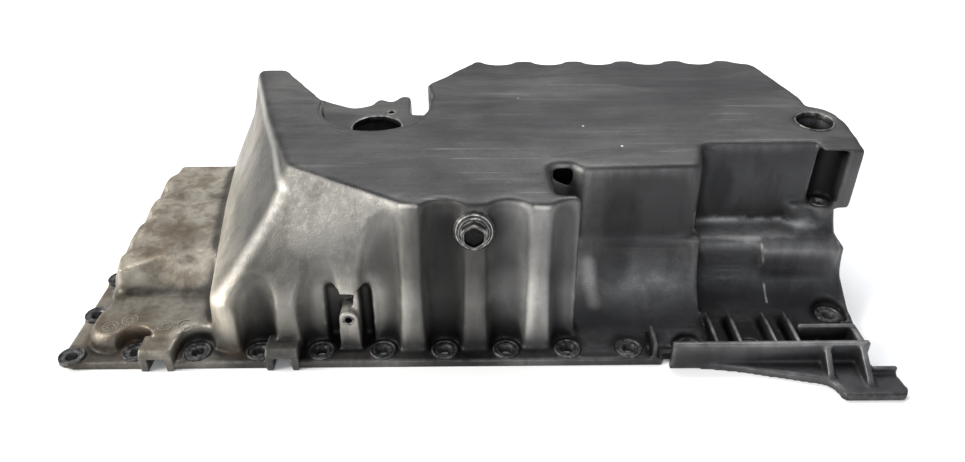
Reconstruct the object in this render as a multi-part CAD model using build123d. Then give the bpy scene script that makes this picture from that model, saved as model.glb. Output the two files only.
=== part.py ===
from build123d import *
import math
import os

# Engine oil pan, an aluminium casting that lies upside down on its gasket flange.
# Origin: middle of the flange's bolt rectangle, on the gasket face.
# +X runs along the engine towards the gearbox, +Y to the back, +Z up to the sump floor.
# All sizes are in millimetres.

# Driving dimensions: bolts and flange
bolt_pitch = 45.5
row_half_gap = 131.5
bolts_each_side = 6
pattern_bolt = 5
bolt_hole_r = 4.5
bolt_boss_r = 9.7
bolt_boss_sides = 12
bolt_boss_height = 2.0
flange_thick = 6.0
flange_margin = 11.0
corner_bolt_forward = 4.0
side_bolt_rows = (-88.0, -41.0, 6.0, 48.0, 90.0)
gearbox_bolt_rows = (-95.0, 95.0)

# Driving dimensions: the tapered clearance that each bolt head needs beside the walls
flute_r = 13.0
flute_draft = 4.3

# Driving dimensions: walls and floor
wall = 5.0
floor_front_height = 121.8
floor_back_height = 137.4
floor_edge_round = 4.0
ridge_foot_out = 0.8
ridge_top_in = 13.5
slope_start_height = 45.0
shoulder_height = 95.0
sump_corner_r = 7.0

# Driving dimensions: shallow end
lower_terrace_height = 20.0
upper_terrace_height = 39.0
terrace_step_y = -77.0

# Driving dimensions: filter seat and port
filter_x = -59.0
filter_y = 33.0
filter_pocket_r = 44.8
filter_seat_height = 110.0
seat_shelf_height = 62.0
port_r = 20.2
port_screw_r = 2.6
port_screw_spacing = 28.5

# Driving dimensions: gearbox end
gearbox_face_gap = 47.0
corner_block_underside = 75.0
pocket_top = 42.0
corner_bore_r = 14.0
ledge_height = 58.0
rim_height = 23.0
rim_thick = 4.5
ledge_plate_thick = 5.0
web_thick = 4.5

# Driving dimensions: pry lugs and bracket post
lug_width = 24.0
lug_height = 17.5
lug_slot_width = 13.0
lug_slot_height = 11.0
post_width = 16.0
post_hole_height = 33.0
post_hole_r = 2.5

# Driving dimensions: drain plug and its washer
plug_x = 22.4
plug_height = 103.5
plug_tilt = 10.0
plug_thread_r = 7.0
plug_hex_across = 17.0
plug_hex_height = 7.5
plug_flange_r = 11.2
plug_flange_thick = 2.4
plug_reach = 15.0
plug_recess_r = 5.6
plug_recess_depth = 4.5
washer_r = 12.0
washer_thick = 1.5
drain_collar_r = 14.0
drain_seat_r = 12.9

# Worked-out values
floor_slope = (floor_back_height - floor_front_height) / (2 * row_half_gap)
floor_mid_height = (floor_front_height + floor_back_height) / 2
front_row_y = -row_half_gap
back_row_y = row_half_gap
ridge_foot_y = front_row_y - ridge_foot_out
ridge_top_y = front_row_y + ridge_top_in
flange_front_y = front_row_y - flange_margin
flange_back_y = back_row_y + flange_margin
flange_left_x = -bolts_each_side * bolt_pitch - 7.5
gearbox_face_x = bolts_each_side * bolt_pitch + gearbox_face_gap
boss_top = flange_thick + bolt_boss_height
inside_flange = 0.5 * flange_thick
above_all = floor_back_height + 40.0


def bolt_x(index, offset=0.0):
    """X of a bolt of the front row, counted from the middle bolt, plus an offset."""
    return index * bolt_pitch + offset


def floor_at(y):
    """Height of the sump floor's outside at a place across the pan."""
    return floor_mid_height + floor_slope * y


def floor_plane(drop):
    """Plane parallel to the sloping floor, some way under its outside."""
    return Plane(origin=(0, 0, floor_mid_height - drop), x_dir=(1, 0, 0), z_dir=(0, -floor_slope, 1))


def outline(corners):
    """Face from corners given as x, y and corner radius."""
    points = [(x, y) for x, y, _ in corners]
    return make_face(FilletPolyline(*points, radius=[r for _, _, r in corners], close=True))


def plain(points):
    """Corners with no rounding, for an outline that is drawn from x and y alone."""
    return [(x, y, 0.0) for x, y in points]


def inset(corners, amount):
    """Corners of the same outline moved inwards by an amount, for anticlockwise corners."""
    moved = []
    count = len(corners)
    for i, (x, y, r) in enumerate(corners):
        x0, y0, _ = corners[i - 1]
        x2, y2, _ = corners[(i + 1) % count]
        ux, uy = x - x0, y - y0
        vx, vy = x2 - x, y2 - y
        lu, lv = math.hypot(ux, uy), math.hypot(vx, vy)
        ux, uy, vx, vy = ux / lu, uy / lu, vx / lv, vy / lv
        turn = ux * vy - uy * vx
        lean = 1 + ux * vx + uy * vy
        nx, ny = -(uy + vy) / lean, (ux + vx) / lean
        new_r = max(r - amount, 1.0) if turn > 0 else r + amount
        moved.append((x + nx * amount, y + ny * amount, new_r))
    return moved


def prism(corners, low, high):
    """Straight block over an outline, between two heights."""
    return Pos(0, 0, low) * extrude(outline(corners), high - low)


def side_profile(points, x_low, x_high):
    """Block with a section drawn in Y and Z and swept along X."""
    face = make_face(Polyline(*points, close=True))
    return Plane.YZ.offset(x_low) * extrude(face, x_high - x_low)


def bolt_places():
    """Centres of all flange bolt holes."""
    front = [(bolt_x(i), front_row_y) for i in range(1 - bolts_each_side, bolts_each_side + 1)]
    back = [(bolt_x(i), back_row_y) for i in range(-bolts_each_side, bolts_each_side + 1)]
    corner = [(bolt_x(-bolts_each_side), front_row_y - corner_bolt_forward)]
    left = [(bolt_x(-bolts_each_side), y) for y in side_bolt_rows]
    right = [(bolt_x(bolts_each_side, 26.0), y) for y in gearbox_bolt_rows]
    return front + back + corner + left + right


def bolt_holes():
    """Through holes: round at the four bolts that set the pattern, and 12-sided at the rest."""
    length = 4 * boss_top
    bored = Cylinder(bolt_hole_r, length)
    cored = Pos(0, 0, -length / 2) * extrude(RegularPolygon(bolt_hole_r, bolt_boss_sides, rotation=15), length)
    pattern_x, pattern_y = bolt_x(pattern_bolt), row_half_gap
    return [Pos(x, y, 0) * (bored if (abs(x), abs(y)) == (pattern_x, pattern_y) else cored)
            for x, y in bolt_places()]


def flutes():
    """Upright cones of air over each bolt, so that its head and a socket clear the walls."""
    cones = []
    for x, y in bolt_places():
        height = (pocket_top if x > bolt_x(bolts_each_side) else above_all) - inside_flange
        top_r = flute_r + height * math.tan(math.radians(flute_draft))
        cone = Cone(flute_r, top_r, height, align=(Align.CENTER, Align.CENTER, Align.MIN))
        cones.append(Pos(x, y, inside_flange) * cone)
    return cones


# Deep sump: the outside walls, as corners at four levels
def sump_corners(level):
    """Corners of the sump's outside at foot, slope, shoulder or floor level."""
    step = {"foot": 0, "slope": 1, "shoulder": 2, "floor": 3}[level]
    front = (ridge_foot_y, ridge_foot_y + 4.5, ridge_top_y - 3.3, ridge_top_y)[step]
    back = -front
    left_end = ((-208, 104), (-205, 103), (-180, 102), (-172, 101.5))[step]
    left_mid = ((-199, 14), (-193, 13), (-163, 12), (-147, 18))[step]
    left_front = ((-171, front), (-169, front - 1), (-131, -82), (-116, -64))[step]
    front_left = ((-66, front - 1), (-64, front - 2), (-42, front), (-22, front))[step]
    block_right = bolt_x(2, 6.0)
    wall_1 = (-76, -75, -73, -71.5)[step]
    wall_2 = (-44, -42, -39, -36)[step]
    return [
        (*left_front, 18.0),
        (*front_left, 40.0),
        (block_right, front + 0.8, sump_corner_r),
        (block_right, front + 17.0 + 0.4 * (ridge_top_y - front), 3.5),
        (block_right - 17.0, front + 16.0 + 0.4 * (ridge_top_y - front), 5.0),
        (block_right - 20.0, wall_1 + 8.0, 6.0),
        (block_right - 3.0, wall_1 + 8.5, 3.0),
        (block_right + 5.0, wall_1, 3.5),
        (bolt_x(4, 8.0), wall_1 + 2.5, 9.0),
        (bolt_x(4, 15.0), wall_2 - 1.5, 6.0),
        (bolt_x(6, 27.0), wall_2, 6.0),
        (bolt_x(6, 26.0), 42.0, 14.0),
        (bolt_x(6, 4.0), back - 7.0, 18.0),
        (bolt_x(5, 20.0), back, 14.0),
        (bolt_x(0, 20.0), back - 1.0, 12.0),
        (bolt_x(0, -7.0), 102.0, 5.0),
        (*left_end, 6.0),
        (*left_mid, 60.0),
    ]


def loft_levels(corner_lists, planes):
    """Ruled walls between outlines that share their corners, each on its own plane."""
    solid = None
    faces = [plane * outline(corners) for corners, plane in zip(corner_lists, planes)]
    for lower, upper in zip(faces, faces[1:]):
        piece = loft([lower, upper], ruled=True)
        solid = piece if solid is None else solid + piece
    return solid


def deep_sump():
    """Outside of the deep part, from the flange to the sloping floor."""
    floor = sump_corners("floor")
    lists = [sump_corners("foot"), sump_corners("slope"), sump_corners("shoulder"), floor,
             inset(floor, 0.75 * floor_edge_round)]
    planes = [Plane.XY, Plane.XY.offset(slope_start_height), Plane.XY.offset(shoulder_height),
              floor_plane(floor_edge_round), floor_plane(0.0)]
    return loft_levels(lists, planes)


# Filter seat: a pocket round the port, open to the back
def filter_pocket(grow, bottom):
    """Air over the filter seat, grown by a margin to keep the cavity clear of it."""
    right = bolt_x(0, -13.0) + grow
    left = bolt_x(-2, -13.5) - grow
    far = row_half_gap + 60.0
    opening = [(left, filter_y + 9.0, 1.0), (right, filter_y + 9.0, 1.0),
               (right, filter_y + 20.0, 3.0), (right - 7.0, filter_y + 33.0, 3.0),
               (right + 6.0, filter_y + 46.5, 3.0), (right + 37.5, filter_y + 83.0, 1.0),
               (right + 37.5, far, 1.0),
               (left - 41.5, far, 1.0), (left - 41.5, filter_y + 69.0, 1.0)]
    height = above_all - bottom
    drum = Cylinder(filter_pocket_r + grow, height, align=(Align.CENTER, Align.CENTER, Align.MIN))
    return Pos(filter_x, filter_y, bottom) * drum + prism(opening, bottom, above_all)


def behind_filter_seat():
    """Air behind the seat's wavy back edge, down to the low shelf."""
    edge = [(bolt_x(-2, -58.0), filter_y + 71.0, 1.0), (bolt_x(-2, -40.0), filter_y + 70.0, 6.0),
            (bolt_x(-2, -12.0), filter_y + 51.0, 10.0), (bolt_x(-2, 8.0), filter_y + 39.0, 9.0),
            (bolt_x(-2, 22.0), filter_y + 45.0, 6.0), (bolt_x(-2, 29.0), filter_y + 63.0, 5.0),
            (bolt_x(-2, 40.0), filter_y + 50.0, 4.0), (bolt_x(-2, 48.0), filter_y + 66.0, 4.5),
            (bolt_x(-2, 57.0), filter_y + 64.0, 4.5), (bolt_x(-2, 59.0), filter_y + 25.0, 5.0),
            (bolt_x(0, -12.0), filter_y + 25.0, 4.0), (bolt_x(0, -19.0), filter_y + 37.0, 3.0),
            (bolt_x(0, -7.0), filter_y + 46.5, 3.0), (bolt_x(0, 24.5), filter_y + 83.0, 1.0),
            (bolt_x(0, 24.5), filter_y + 88.0, 1.0), (bolt_x(-2, -58.0), filter_y + 88.0, 1.0)]
    return prism(edge, seat_shelf_height, above_all)


# Shallow end: two terraces
def shallow_end():
    """Outside of the two terraces at the end away from the gearbox."""
    left = bolt_x(-6, 11.0)
    right = bolt_x(-4, 16.0)
    low = [(left - 4.0, ridge_foot_y + 1.0, 18.0), (right, ridge_foot_y + 1.0, 8.0),
           (right, terrace_step_y + 20.0, 8.0), (left - 4.0, terrace_step_y + 20.0, 9.0)]
    shoulder = lower_terrace_height - 6.0
    lower = prism(low, 0.0, shoulder)
    lower = lower + loft([Plane.XY.offset(shoulder) * outline(low),
                          Plane.XY.offset(lower_terrace_height) * outline(inset(low, 5.0))], ruled=True)
    foot_ring = [(left + 3.0, terrace_step_y, 4.0), (left + 34.0, terrace_step_y, 4.0),
                 (right, terrace_step_y + 0.5, 3.0), (right, back_row_y - 9.0, 5.0),
                 (left - 17.3, back_row_y - 9.0, 14.0), (left - 17.3, terrace_step_y + 30.0, 9.0)]
    mid_ring = [(left + 5.0, terrace_step_y, 4.0), (left + 34.0, terrace_step_y, 4.0),
                (right, terrace_step_y + 0.5, 3.0), (right, back_row_y - 18.0, 5.0),
                (left - 12.0, back_row_y - 18.0, 14.0), (left - 10.0, terrace_step_y + 28.0, 9.0)]
    high_ring = [(left + 7.0, terrace_step_y + 1.0, 4.0), (left + 34.0, terrace_step_y + 23.0, 4.0),
                 (right, terrace_step_y + 28.0, 3.0), (right, back_row_y - 34.5, 5.0),
                 (left - 1.0, back_row_y - 34.5, 10.0), (left + 2.0, terrace_step_y + 25.0, 9.0)]
    upper = loft_levels([foot_ring, mid_ring, high_ring],
                        [Plane.XY.offset(1.0), Plane.XY.offset(lower_terrace_height),
                         Plane.XY.offset(upper_terrace_height)])
    return lower + upper


# Lower walls on the gearbox side
def flared_wall(front_y, top_z, foot_y, x_low, x_high):
    """Wall with a hollow round flare at its foot, swept along X."""
    reach = front_y - foot_y
    arc = CenterArc((foot_y, boss_top + reach), reach, 270, 90)
    lines = Polyline(arc @ 1, (front_y, top_z), (front_y + 40.0, top_z), (front_y + 40.0, 0.0),
                     (foot_y, 0.0), arc @ 0)
    return Plane.YZ.offset(x_low) * extrude(make_face(arc + lines), x_high - x_low)


def gearbox_side_walls():
    """The recessed wall, and the lower wall with the rounded ledge on top."""
    first = flared_wall(-75.5, 66.0, ridge_foot_y + 1.0, bolt_x(2, 5.0), bolt_x(4, 14.0))
    second = flared_wall(-66.0, ledge_height - 7.0, -104.0, bolt_x(4, 13.0), gearbox_face_x - 6.0)
    body = [(-66.0, 0.0), (-66.0, ledge_height - 7.0), (-63.0, ledge_height - 2.0),
            (-58.0, ledge_height), (-36.0, ledge_height + 4.0), (0.0, ledge_height + 4.0), (0.0, 0.0)]
    shelf = side_profile(body, bolt_x(4, 13.0), gearbox_face_x - 12.0)
    pad = [(-70.0, 10.0), (-70.0, ledge_height - 8.0), (-64.0, ledge_height - 2.0), (-50.0, ledge_height - 2.0),
           (-50.0, 10.0)]
    return first + second + shelf + side_profile(pad, bolt_x(5, 20.0), gearbox_face_x - 12.0)


def gearbox_end():
    """End wall at the gearbox face, and the corner block that hangs over it."""
    inner_x = bolt_x(6, 24.0)
    foot = [(inner_x - 20.0, -72.0, 3.0), (gearbox_face_x - 3.0, -72.0, 6.0),
            (gearbox_face_x - 3.0, 76.0, 8.0), (inner_x - 20.0, 76.0, 3.0)]
    head = [(inner_x - 20.0, -44.0, 3.0), (gearbox_face_x - 12.0, -44.0, 6.0),
            (gearbox_face_x - 12.0, 60.0, 8.0), (inner_x - 20.0, 60.0, 3.0)]
    skirt = loft([outline(foot), Plane.XY.offset(corner_block_underside + 4.0) * outline(head)], ruled=True)
    block_left = gearbox_face_x - 35.0
    block = [(block_left, -48.0, 2.0), (gearbox_face_x - 2.0, -48.0, 3.0), (gearbox_face_x, -2.0, 25.0),
             (gearbox_face_x - 8.0, 26.0, 22.0), (block_left, 26.0, 3.0)]
    top = prism(block, corner_block_underside, above_all)
    return skirt + top


def corner_block_cuts():
    """Bore down through the block, and the slot that a socket reaches the lower boss by."""
    bore_x = bolt_x(6, 21.53)
    bore = Pos(bore_x, -1.57, corner_block_underside + 20.0) * Cylinder(
        corner_bore_r, above_all, align=(Align.CENTER, Align.CENTER, Align.MIN))
    slot_x = bolt_x(6, 22.5)
    slot_y = -40.0
    drum = Pos(slot_x, slot_y, corner_block_underside + 3.0) * Cylinder(
        10.5, above_all, align=(Align.CENTER, Align.CENTER, Align.MIN))
    mouth = Pos(slot_x, slot_y - 10.0, corner_block_underside + 3.0) * Box(
        21.0, 20.0, above_all, align=(Align.CENTER, Align.CENTER, Align.MIN))
    dome_z = floor_at(slot_y) - 2.0
    keep = Pos(slot_x, slot_y, dome_z) * Box(60, 60, 60, align=(Align.CENTER, Align.CENTER, Align.MIN))
    screw = Pos(slot_x, slot_y, ledge_height - 4.0) * Cylinder(
        4.2, 40.0, align=(Align.CENTER, Align.CENTER, Align.MIN))
    return [bore, (drum + mouth) - keep, screw]


def corner_boss():
    """Half-round boss under the slot, with a low bump beside it."""
    low = ledge_height - 5.0
    boss = Pos(bolt_x(6, 22.5), -40.0, low) * Cylinder(
        10.8, corner_block_underside + 3.0 - low, align=(Align.CENTER, Align.CENTER, Align.MIN))
    bump = Pos(bolt_x(6, 3.0), -38.0, low) * Cylinder(
        8.5, corner_block_underside + 3.0 - low, align=(Align.CENTER, Align.CENTER, Align.MIN))
    return boss + bump


# Flange with its wing at the gearbox side
def flange():
    """Flange plate, ledge plate, tab and the boss round each bolt."""
    wing = bolt_x(4, -14.0)
    body = [(flange_left_x, flange_front_y, 9.0), (wing - 7.5, flange_front_y, 1.0),
            (wing - 7.0, flange_front_y + 5.0, 1.5), (wing + 3.0, flange_front_y + 6.5, 3.0),
            (wing + 5.0, flange_front_y - 3.0, 1.0), (bolt_x(5, -15.0), -151.0, 60.0),
            (bolt_x(6, 3.0), -166.0, 12.0), (bolt_x(6, 6.5), -181.0, 5.0), (bolt_x(6, 49.0), -181.0, 4.0),
            (bolt_x(6, 52.5), -175.0, 2.0), (bolt_x(6, 50.0), -157.5, 1.5), (bolt_x(6, 38.5), -157.5, 2.0),
            (bolt_x(6, 36.5), -146.0, 3.0), (gearbox_face_x - 5.0, -114.0, 30.0), (gearbox_face_x, -72.0, 20.0),
            (gearbox_face_x, flange_back_y, 9.0), (flange_left_x, flange_back_y, 9.0)]
    solid = prism(body, 0.0, flange_thick)
    boss = extrude(RegularPolygon(bolt_boss_r, bolt_boss_sides, rotation=15), bolt_boss_height + inside_flange)
    return solid + [Pos(x, y, boss_top - bolt_boss_height - inside_flange) * boss for x, y in bolt_places()]


def wing_ribs():
    """Rim, cross rib, webs, gussets and the tab's back wall on the wing."""
    rim_y = -147.0
    rim_left = bolt_x(4, -17.0)
    rim_right = bolt_x(6, 34.0)
    rim = Box(rim_right - rim_left, rim_thick, rim_height, align=(Align.MIN, Align.MIN, Align.MIN))
    parts = Pos(rim_left, rim_y, 0) * rim
    cross = Box(42.0, 3.5, rim_height - 2.0, align=(Align.MIN, Align.MIN, Align.MIN))
    parts = parts + Pos(bolt_x(6, -10.0), -124.5, 0) * cross
    end = [(bolt_x(6, 27.5), rim_y, 1.0), (rim_right, rim_y, 1.0), (bolt_x(6, 33.5), -121.0, 1.0),
           (bolt_x(6, 29.5), -121.0, 1.0)]
    parts = parts + prism(end, 0.0, rim_height - 4.0)
    edge_rib = [(-66.0, 0.0), (-66.0, rim_height), (-73.0, rim_height), (-98.0, boss_top), (-98.0, 0.0)]
    parts = parts + side_profile(edge_rib, bolt_x(6, 39.0), bolt_x(6, 42.5))
    for x in (bolt_x(4, 17.0), bolt_x(4, 34.0), bolt_x(5, 14.5), bolt_x(5, 31.0)):
        web = Box(3.0, 44.0, rim_height - 4.0, align=(Align.CENTER, Align.MIN, Align.MIN))
        parts = parts + Pos(x, rim_y + 1.0, 0) * web
    small = [(rim_y, 0.0), (rim_y, rim_height - 2.0), (rim_y - 20.0, ledge_plate_thick), (rim_y - 20.0, 0.0)]
    parts = parts + side_profile(small, bolt_x(6, 0.5), bolt_x(6, 0.5) + web_thick)
    large = [(rim_y, 0.0), (rim_y, rim_height), (rim_y - 27.0, ledge_plate_thick + 1.0), (rim_y - 27.0, 0.0)]
    parts = parts + side_profile(large, bolt_x(6, 25.5), bolt_x(6, 25.5) + web_thick)
    back_wall = Box(17.0, 3.0, 12.0, align=(Align.MIN, Align.MIN, Align.MIN))
    parts = parts + Pos(bolt_x(6, 33.0), -160.5, 0) * back_wall
    lone = Box(3.5, 22.0, rim_height - 4.0, align=(Align.CENTER, Align.MIN, Align.MIN))
    return parts + Pos(bolt_x(4, -28.0), flange_front_y + 1.0, 0) * lone


# Pry lugs and bracket post
def pry_lugs():
    """Two arched lugs on the flange's front edge, between bolts."""
    solids = []
    profile = [(flange_front_y - 3.0, 0.0), (flange_front_y - 3.0, lug_height - 4.0),
               (flange_front_y + 0.5, lug_height), (flange_front_y + 17.0, lug_height),
               (flange_front_y + 24.0, flange_thick), (flange_front_y + 24.0, 0.0)]
    for index in (-5, -3):
        middle = bolt_x(index, 0.4 * bolt_pitch + 1.0)
        solids.append(side_profile(profile, middle - lug_width / 2, middle + lug_width / 2))
    return solids


def pry_slots():
    """Open slots under the pry lugs."""
    slot = Box(lug_slot_width, 18.0, 2 * lug_slot_height, align=(Align.CENTER, Align.MIN, Align.CENTER))
    return [Pos(bolt_x(index, 0.4 * bolt_pitch + 1.0), flange_front_y - 5.0, 0) * slot for index in (-5, -3)]


def post_pocket():
    """Hollow in the front wall round the post, under the sloping shoulder."""
    deep_y = ridge_foot_y + 23.0
    section = [(ridge_foot_y - 3.0, inside_flange), (deep_y - 1.0, inside_flange), (deep_y, 50.0),
               (deep_y - 6.0, 58.0), (ridge_foot_y - 3.0, 50.0)]
    return side_profile(section, bolt_x(-2, 4.0), bolt_x(-2, 38.0))


def bracket_post():
    """Round-topped post on the front wall, with the rib behind it."""
    post_x = bolt_x(-2, 22.0)
    face_y = ridge_foot_y + 3.5
    depth = 26.0
    half = post_width / 2
    arch = Polyline((-half, 0), (half, 0), (half - 1.0, post_hole_height))
    crown = ThreePointArc((half - 1.0, post_hole_height), (0, post_hole_height + half - 1.0),
                          (1.0 - half, post_hole_height))
    back = Line((1.0 - half, post_hole_height), (-half, 0))
    shape = make_face(arch + crown + back)
    turned = Plane(origin=(post_x, face_y + depth, 0), x_dir=(1, 0, 0), z_dir=(0, -1, 0))
    post = turned * extrude(shape, depth)
    rib = [(face_y + depth, 0.0), (face_y + 6.0, 0.0), (face_y + 6.0, post_hole_height + 5.0),
           (face_y + 14.0, 66.0), (face_y + depth, 66.0)]
    return post + side_profile(rib, post_x + 3.0, post_x + 7.5)


def bracket_hole():
    """Blind screw hole in the post's face."""
    place = Plane(origin=(bolt_x(-2, 22.0), ridge_foot_y, post_hole_height), x_dir=(1, 0, 0), z_dir=(0, 1, 0))
    return place * Cylinder(post_hole_r, 18.0, align=(Align.CENTER, Align.CENTER, Align.MIN))


# Drain: seat, plug and washer share one tilted axis
def drain_plane():
    """Plane of the washer's seat, its normal pointing out of the pan."""
    tilt = math.radians(plug_tilt)
    return Plane(origin=(plug_x, ridge_top_y - 1.8, plug_height), x_dir=(1, 0, 0),
                 z_dir=(0, -math.cos(tilt), math.sin(tilt)))


def drain_collar():
    """Round collar on the ridge that carries the plug's seat."""
    return drain_plane() * Pos(0, 0, 1.0) * Cylinder(
        drain_collar_r, 24.0, align=(Align.CENTER, Align.CENTER, Align.MAX))


def drain_cuts():
    """Machined seat and the plug's hole."""
    seat = Cylinder(drain_seat_r, 14.0, align=(Align.CENTER, Align.CENTER, Align.MIN))
    hole = Cylinder(plug_thread_r + 0.05, 60.0)
    return [drain_plane() * seat, drain_plane() * hole]


def drain_plug():
    """Hexagon head with a hollow face, flange and threaded shank."""
    up = (Align.CENTER, Align.CENTER, Align.MIN)
    down = (Align.CENTER, Align.CENTER, Align.MAX)
    collar = Pos(0, 0, washer_thick) * Cylinder(plug_flange_r, plug_flange_thick, align=up)
    hexagon = RegularPolygon(plug_hex_across / 2, 6, major_radius=False, rotation=30)
    head = Pos(0, 0, washer_thick + plug_flange_thick) * extrude(hexagon, plug_hex_height)
    head_top = washer_thick + plug_flange_thick + plug_hex_height
    dish = Pos(0, 0, head_top) * Cylinder(plug_recess_r, 2 * plug_recess_depth)
    shank = Pos(0, 0, washer_thick) * Cylinder(plug_thread_r, plug_reach + washer_thick, align=down)
    return drain_plane() * (collar + head - dish + shank)


def drain_washer():
    """Soft sealing ring under the plug's flange."""
    up = (Align.CENTER, Align.CENTER, Align.MIN)
    ring = Cylinder(washer_r, washer_thick, align=up) - Cylinder(plug_thread_r + 0.15, 3 * washer_thick)
    return drain_plane() * ring


# Inside of the pan
def cavity():
    """Oil space: the deep sump and the two shallow levels, open at the gasket face."""
    inner_y = row_half_gap - 18.5
    top_y = row_half_gap - 26.0
    right = bolt_x(6, -4.0)
    notch_x = bolt_x(2, -21.0)

    def corners(front_y, left_front, left_mid, left_back):
        return plain([left_front, (left_front[0] * 0.45 + 12.0, front_y), (notch_x, front_y + 1.0),
                      (notch_x + 0.5, -63.0), (bolt_x(4, 2.0), -62.0), (bolt_x(4, 10.0), -31.0),
                      (right + 2.0, -30.0), (right + 2.0, 30.0), (right + 13.0, 42.0),
                      (right - 6.0, -front_y - 6.0), (bolt_x(0, 22.0), -front_y - 1.0),
                      (bolt_x(0, -8.0), 88.0), left_back, left_mid])

    lists = [corners(-inner_y, (-163, -inner_y + 1.5), (-192, 14), (-200, 96)),
             corners(-inner_y + 1.0, (-160, -inner_y + 2.5), (-186, 14), (-197, 95)),
             corners(-top_y - 2.0, (-120, -72), (-155, 13), (-171, 94)),
             corners(-top_y + 0.5, (-106, -54), (-141, 17), (-165, 94))]
    planes = [Plane.XY.offset(-1.0), Plane.XY.offset(slope_start_height), Plane.XY.offset(shoulder_height),
              floor_plane(wall)]
    deep = loft_levels(lists, planes)
    deep = deep - filter_pocket(wall, filter_seat_height - wall)
    left = bolt_x(-6, 11.0)
    shallow = plain([(left + 9.0, terrace_step_y + 8.0), (bolt_x(-4), terrace_step_y + 8.0),
                     (bolt_x(-4), back_row_y - 36.0), (left + 9.0, back_row_y - 36.0)])
    upper = prism(shallow, -1.0, upper_terrace_height - wall)
    ramp = [(terrace_step_y, upper_terrace_height - wall + 1.0),
            (terrace_step_y + 36.0, upper_terrace_height - wall + 1.0),
            (terrace_step_y, lower_terrace_height - 5.0)]
    upper = upper - side_profile(ramp, left - 1.0, bolt_x(-4, 1.0))
    lower = prism(plain([(left + 8.0, -inner_y + 3.0), (bolt_x(-4, 15.0), -inner_y + 3.0),
                         (bolt_x(-4, 15.0), terrace_step_y + 15.0), (left + 8.0, terrace_step_y + 15.0)]),
                  -1.0, lower_terrace_height - wall)
    behind_recess = prism(plain([(bolt_x(2, 25.0), -69.0), (bolt_x(4, 2.0), -69.0),
                                 (bolt_x(4, 2.0), -50.0), (bolt_x(2, 25.0), -50.0)]),
                          -1.0, ledge_height - wall)
    behind_ledge = prism(plain([(bolt_x(4, 20.0), -59.0), (bolt_x(6, 26.0), -59.0),
                                (bolt_x(6, 26.0), 36.0), (bolt_x(6, 14.0), 58.0),
                                (bolt_x(6, -20.0), 58.0), (bolt_x(4, 20.0), -20.0)]),
                         -1.0, ledge_height - wall)
    behind_post = side_profile([(ridge_foot_y, -1.0), (ridge_foot_y, 58.0 + wall),
                                (ridge_foot_y + 17.0 + wall, 58.0 + 2 * wall),
                                (ridge_foot_y + 23.0 + wall, 50.0 + wall), (ridge_foot_y + 23.0 + wall, -1.0)],
                               bolt_x(-2, 4.0 - wall), bolt_x(-2, 38.0 + wall))
    behind_seat = prism(plain([(bolt_x(-2, -64.0), filter_y + 71.0 - wall),
                               (bolt_x(-2, -42.0), filter_y + 69.0 - wall),
                               (bolt_x(-2, -14.0), filter_y + 50.0 - wall),
                               (bolt_x(-2, 6.0), filter_y + 38.0 - wall),
                               (bolt_x(-2, 53.0), filter_y + 38.0 - wall),
                               (bolt_x(-2, 54.0), filter_y + 25.0 - wall),
                               (bolt_x(0, -12.0 + wall), filter_y + 25.0 - wall),
                               (bolt_x(0, -12.0 + wall), filter_y + 39.0),
                               (bolt_x(0, 28.5), filter_y + 80.0), (bolt_x(0, 28.5), row_half_gap),
                               (bolt_x(-2, -64.0), row_half_gap)]),
                        seat_shelf_height - wall, above_all)
    return deep - behind_post - behind_seat + [upper, lower, behind_recess, behind_ledge]


def pan_casting():
    """The whole casting as one solid."""
    solid = deep_sump() + shallow_end() + gearbox_side_walls() + gearbox_end()
    solid = solid - filter_pocket(0.0, filter_seat_height)
    solid = solid - behind_filter_seat()
    solid = solid - flutes() - post_pocket()
    solid = solid + flange() + wing_ribs() + corner_boss() + bracket_post() + drain_collar()
    solid = solid + pry_lugs()
    sky = floor_plane(0.0) * Box(900, 500, 200, align=(Align.CENTER, Align.CENTER, Align.MIN))
    solid = solid - sky - cavity()
    solid = solid - (corner_block_cuts() + pry_slots() + drain_cuts() + [bracket_hole()])
    solid = solid - bolt_holes()
    port = Pos(filter_x, filter_y, filter_seat_height) * Cylinder(port_r, 60.0)
    screw = Pos(filter_x + 10.0, filter_y + port_screw_spacing, filter_seat_height) * Cylinder(port_screw_r, 14.0)
    return solid - port - screw


os.makedirs("parts", exist_ok=True)
casting = pan_casting()
export_step(casting, "parts/pan_casting.step")
export_step(drain_plug(), "parts/drain_plug.step")
export_step(drain_washer(), "parts/drain_plug_washer.step")
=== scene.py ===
import math
import bpy
import bmesh
import numpy as np
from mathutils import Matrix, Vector, kdtree
from mathutils.bvhtree import BVHTree


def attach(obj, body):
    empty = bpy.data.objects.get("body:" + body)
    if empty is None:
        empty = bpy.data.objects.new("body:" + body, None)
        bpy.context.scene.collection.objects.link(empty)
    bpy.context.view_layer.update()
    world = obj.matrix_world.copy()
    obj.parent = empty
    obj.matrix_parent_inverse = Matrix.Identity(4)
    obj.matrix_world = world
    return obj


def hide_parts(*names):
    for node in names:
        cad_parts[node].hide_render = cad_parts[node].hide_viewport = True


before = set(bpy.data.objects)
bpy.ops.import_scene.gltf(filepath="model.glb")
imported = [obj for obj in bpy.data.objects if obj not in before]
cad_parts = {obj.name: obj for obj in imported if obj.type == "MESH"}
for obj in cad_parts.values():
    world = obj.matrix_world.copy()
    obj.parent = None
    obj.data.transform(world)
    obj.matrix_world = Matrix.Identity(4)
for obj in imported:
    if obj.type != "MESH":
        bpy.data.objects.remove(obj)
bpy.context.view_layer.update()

MM = 0.001
SCENE = bpy.context.scene

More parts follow.
